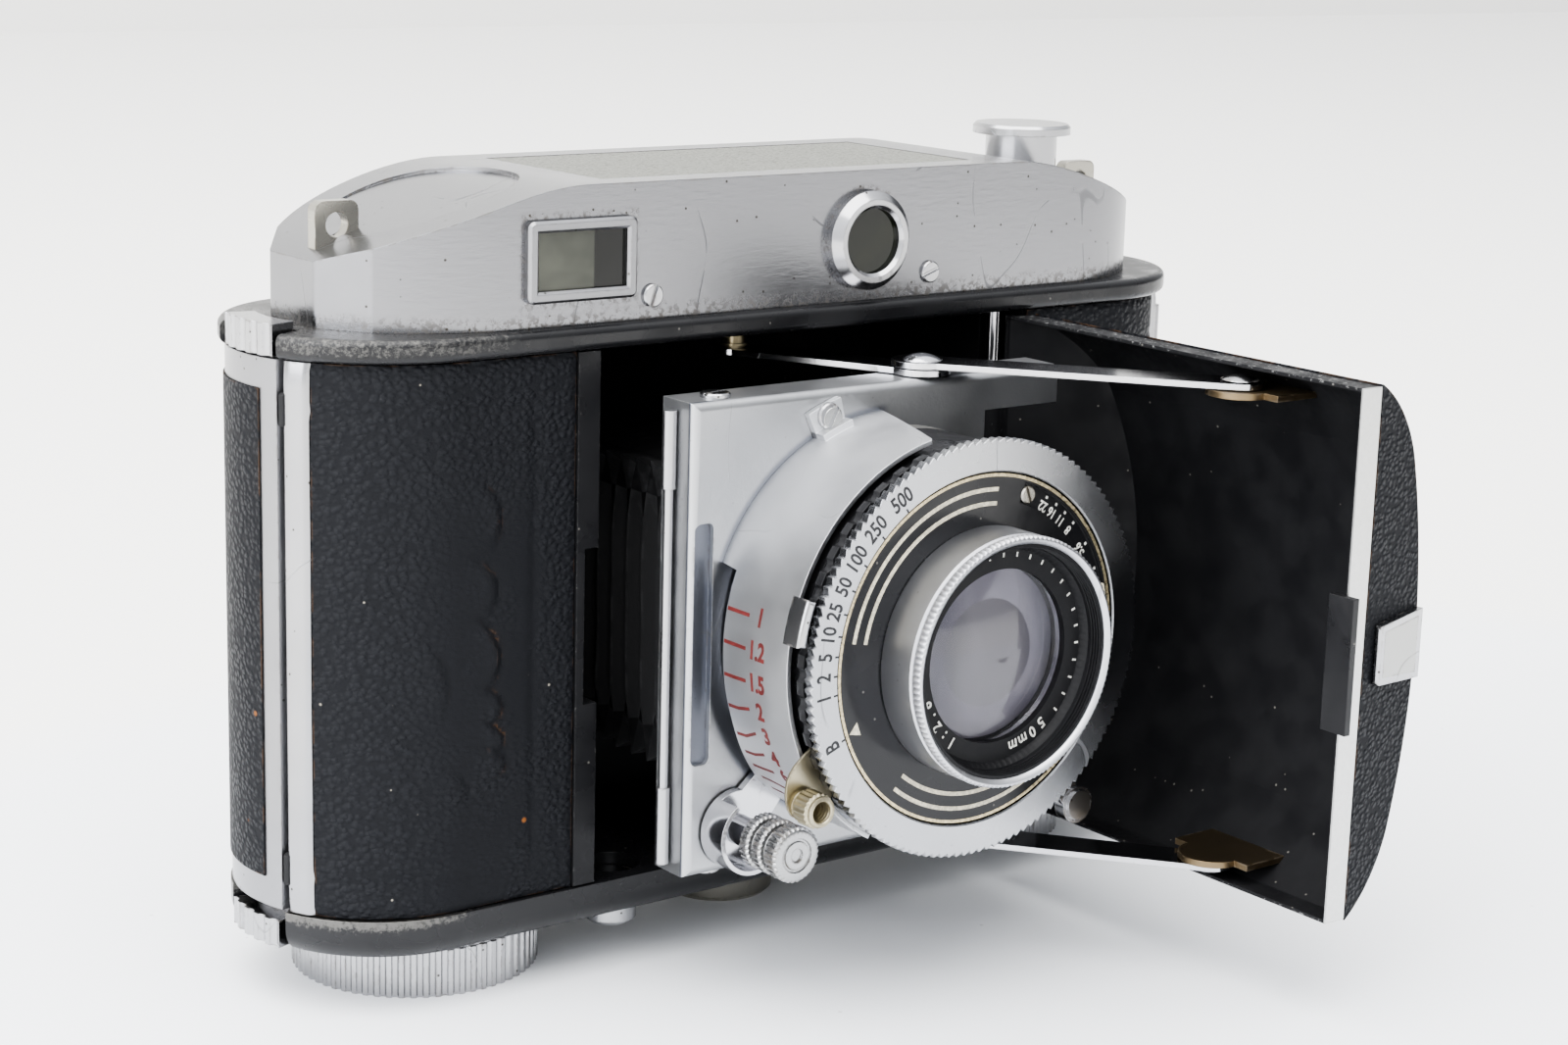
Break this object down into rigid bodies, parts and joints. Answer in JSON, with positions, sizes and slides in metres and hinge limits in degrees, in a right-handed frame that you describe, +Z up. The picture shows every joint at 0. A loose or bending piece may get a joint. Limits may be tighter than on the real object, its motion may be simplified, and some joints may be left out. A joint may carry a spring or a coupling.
{
  "type": "folding camera",
  "caption": "Folding 35 mm camera with a side-hinged front door, strut-mounted leaf shutter and lens on a bellows, chrome top housing with finder and rangefinder windows, and knobs underneath.",
  "frame": {"origin": "mouth of the tripod socket, on the plane that the camera stands on", "axes": "+X along the body, -Y towards the subject (lens side), +Z up"},
  "size_m": [0.1236, 0.0879, 0.0889],
  "materials": {
    "chassis": "black crackle",
    "film_rails": "polished",
    "top_plate": "worn gloss black enamel",
    "bottom_plate": "worn gloss black enamel",
    "tripod_bush": "dull",
    "front_leather": "grained black",
    "opening_lip": "worn gloss black enamel",
    "edge_strips": "worn satin",
    "top_housing": "satin",
    "top_panel": "grained grey-green",
    "finder_frames": "satin",
    "finder_glasses": "clear",
    "rangefinder_bezel": "polished",
    "rangefinder_glass": "olive",
    "rangefinder_prisms": "clear",
    "housing_screws": "polished",
    "strap_lugs": "worn",
    "hinge_rods": "polished",
    "strut_posts": "plated, dull",
    "bellows": "pleated black",
    "door_shell": "gloss black inside, chrome rim",
    "door_leather": "grained black",
    "door_pull": "satin",
    "door_catch": "black",
    "strut_brackets": "worn brown",
    "door_rivets": "polished",
    "lens_standard": "satin",
    "standard_rod": "polished",
    "distance_scale": "polished",
    "standard_screws": "polished",
    "body_struts": "polished",
    "door_struts": "polished",
    "knee_rivets": "polished",
    "focus_ring": "polished",
    "focus_knob": "milled",
    "shutter_housing": "black",
    "knurled_collar": "black",
    "shutter_face": "gloss black",
    "shutter_blades": "blued",
    "cable_socket": "plated, worn",
    "lens_barrel": "polished",
    "name_ring": "black",
    "front_lens": "coated",
    "rear_lens": "clear",
    "rear_cell": "blackened",
    "speed_ring": "satin",
    "aperture_pointer": "pale",
    "cocking_lever": "polished",
    "release_lever": "polished",
    "wind_knob": "fluted",
    "take_up_spool": "black",
    "rewind_knob": "fluted",
    "rewind_fork": "plain",
    "release_button": "satin",
    "door_button": "worn",
    "rear_cover": "worn bright border",
    "rear_leather": "grained black",
    "pressure_plate": "black",
    "pressure_spring": "plain",
    "latch_bar": "worn"
  },
  "bodies": {
    "camera_body": {"chassis": "chassis", "film_rails": "film_rails", "top_plate": "top_plate", "bottom_plate": "bottom_plate", "tripod_bush": "tripod_bush", "front_leather": "front_leather", "opening_lip": "opening_lip", "edge_strips": "edge_strips", "top_housing": "top_housing", "top_panel": "top_panel", "finder_frames": "finder_frames", "finder_glasses": "finder_glasses", "rangefinder_bezel": "rangefinder_bezel", "rangefinder_glass": "rangefinder_glass", "rangefinder_prisms": "rangefinder_prisms", "housing_screws": "housing_screws", "strap_lugs": "strap_lugs", "hinge_rods": "hinge_rods", "strut_posts": "strut_posts", "bellows": "bellows"},
    "front_door": {"door_shell": "door_shell", "door_leather": "door_leather", "door_pull": "door_pull", "door_catch": "door_catch", "strut_brackets": "strut_brackets", "door_rivets": "door_rivets"},
    "lens_standard": {"lens_standard": "lens_standard", "standard_rod": "standard_rod", "distance_scale": "distance_scale", "standard_screws": "standard_screws"},
    "body_struts": {"body_struts": "body_struts"},
    "door_struts": {"door_struts": "door_struts", "knee_rivets": "knee_rivets"},
    "focus_ring": {"focus_ring": "focus_ring", "focus_knob": "focus_knob"},
    "shutter_unit": {"shutter_housing": "shutter_housing", "knurled_collar": "knurled_collar", "shutter_face": "shutter_face", "shutter_blades": "shutter_blades", "cable_socket": "cable_socket", "lens_barrel": "lens_barrel", "name_ring": "name_ring", "front_lens": "front_lens", "rear_lens": "rear_lens", "rear_cell": "rear_cell"},
    "speed_ring": {"speed_ring": "speed_ring"},
    "aperture_pointer": {"aperture_pointer": "aperture_pointer"},
    "cocking_lever": {"cocking_lever": "cocking_lever"},
    "release_lever": {"release_lever": "release_lever"},
    "wind_knob": {"wind_knob": "wind_knob", "take_up_spool": "take_up_spool"},
    "rewind_knob": {"rewind_knob": "rewind_knob", "rewind_fork": "rewind_fork"},
    "release_button": {"release_button": "release_button"},
    "door_button": {"door_button": "door_button"},
    "rear_cover": {"rear_cover": "rear_cover", "rear_leather": "rear_leather", "pressure_plate": "pressure_plate", "pressure_spring": "pressure_spring"},
    "latch_bar": {"latch_bar": "latch_bar"}
  },
  "joints": [
    {"name": "door_hinge", "type": "hinge", "parent": "camera_body", "child": "front_door", "pos_m": [0.0283, -0.0133, 0.0394], "axis": [0, 0, 1], "range_deg": [-90, 0]},
    {"name": "standard_slide", "type": "slide", "parent": "camera_body", "child": "lens_standard", "axis": [0, 1, 0], "range_m": [0, 0.02905], "deforming": ["bellows"]},
    {"name": "body_strut_turn", "type": "hinge", "parent": "camera_body", "child": "body_struts", "pos_m": [-0.00257, -0.00445, 0.0394], "axis": [0, 0, 1], "range_deg": [0, 85.2]},
    {"name": "door_strut_turn", "type": "hinge", "parent": "front_door", "child": "door_struts", "pos_m": [0.029, -0.0522, 0.0394], "axis": [0, 0, 1], "range_deg": [-7.6, 0]},
    {"name": "focus_turn", "type": "hinge", "parent": "lens_standard", "child": "focus_ring", "pos_m": [0, -0.035, 0.0394], "axis": [0, 1, 0], "range_deg": [0, 60]},
    {"name": "focus_slide", "type": "slide", "parent": "lens_standard", "child": "shutter_unit", "axis": [0, -1, 0], "range_m": [0, 0.0029]},
    {"name": "speed_ring_turn", "type": "hinge", "parent": "shutter_unit", "child": "speed_ring", "pos_m": [0, -0.035, 0.0394], "axis": [0, -1, 0], "range_deg": [0, 85]},
    {"name": "aperture_turn", "type": "hinge", "parent": "shutter_unit", "child": "aperture_pointer", "pos_m": [0, -0.035, 0.0394], "axis": [0, -1, 0], "range_deg": [0, 50]},
    {"name": "cocking_turn", "type": "hinge", "parent": "shutter_unit", "child": "cocking_lever", "pos_m": [0, -0.035, 0.0394], "axis": [0, 1, 0], "range_deg": [0, 30], "stiffness_Nm_per_rad": 0.004, "springref_deg": -5.73},
    {"name": "release_lever_turn", "type": "hinge", "parent": "shutter_unit", "child": "release_lever", "pos_m": [0, -0.035, 0.0394], "axis": [0, 1, 0], "range_deg": [0, 12], "stiffness_Nm_per_rad": 0.004, "springref_deg": -5.73},
    {"name": "wind_turn", "type": "hinge", "parent": "camera_body", "child": "wind_knob", "pos_m": [-0.041, 0.0003, 0], "axis": [0, 0, 1], "continuous": true},
    {"name": "rewind_turn", "type": "hinge", "parent": "camera_body", "child": "rewind_knob", "pos_m": [0.0423, 0.0006, 0], "axis": [0, 0, 1], "continuous": true},
    {"name": "release_press", "type": "slide", "parent": "camera_body", "child": "release_button", "axis": [0, 0, -1], "range_m": [0, 0.0015], "stiffness_N_per_m": 400, "springref_m": -0.001},
    {"name": "door_button_press", "type": "slide", "parent": "camera_body", "child": "door_button", "axis": [0, 0, 1], "range_m": [0, 0.0012], "stiffness_N_per_m": 400, "springref_m": -0.001},
    {"name": "cover_hinge", "type": "hinge", "parent": "camera_body", "child": "rear_cover", "pos_m": [0.06058, -0.006, 0.0394], "axis": [0, 0, -1], "range_deg": [0, 100]},
    {"name": "latch_slide", "type": "slide", "parent": "rear_cover", "child": "latch_bar", "axis": [0, 0, 1], "range_m": [0, 0.001], "stiffness_N_per_m": 400, "springref_m": -0.001}
  ],
  "couplings": [
    {"joint": "standard_slide", "follows": "door_hinge", "m_per_rad": -0.018462},
    {"joint": "body_strut_turn", "follows": "door_hinge", "ratio": -0.94507},
    {"joint": "door_strut_turn", "follows": "door_hinge", "ratio": 0.083156},
    {"joint": "focus_slide", "follows": "focus_turn", "m_per_rad": 0.0027693}
  ]
}
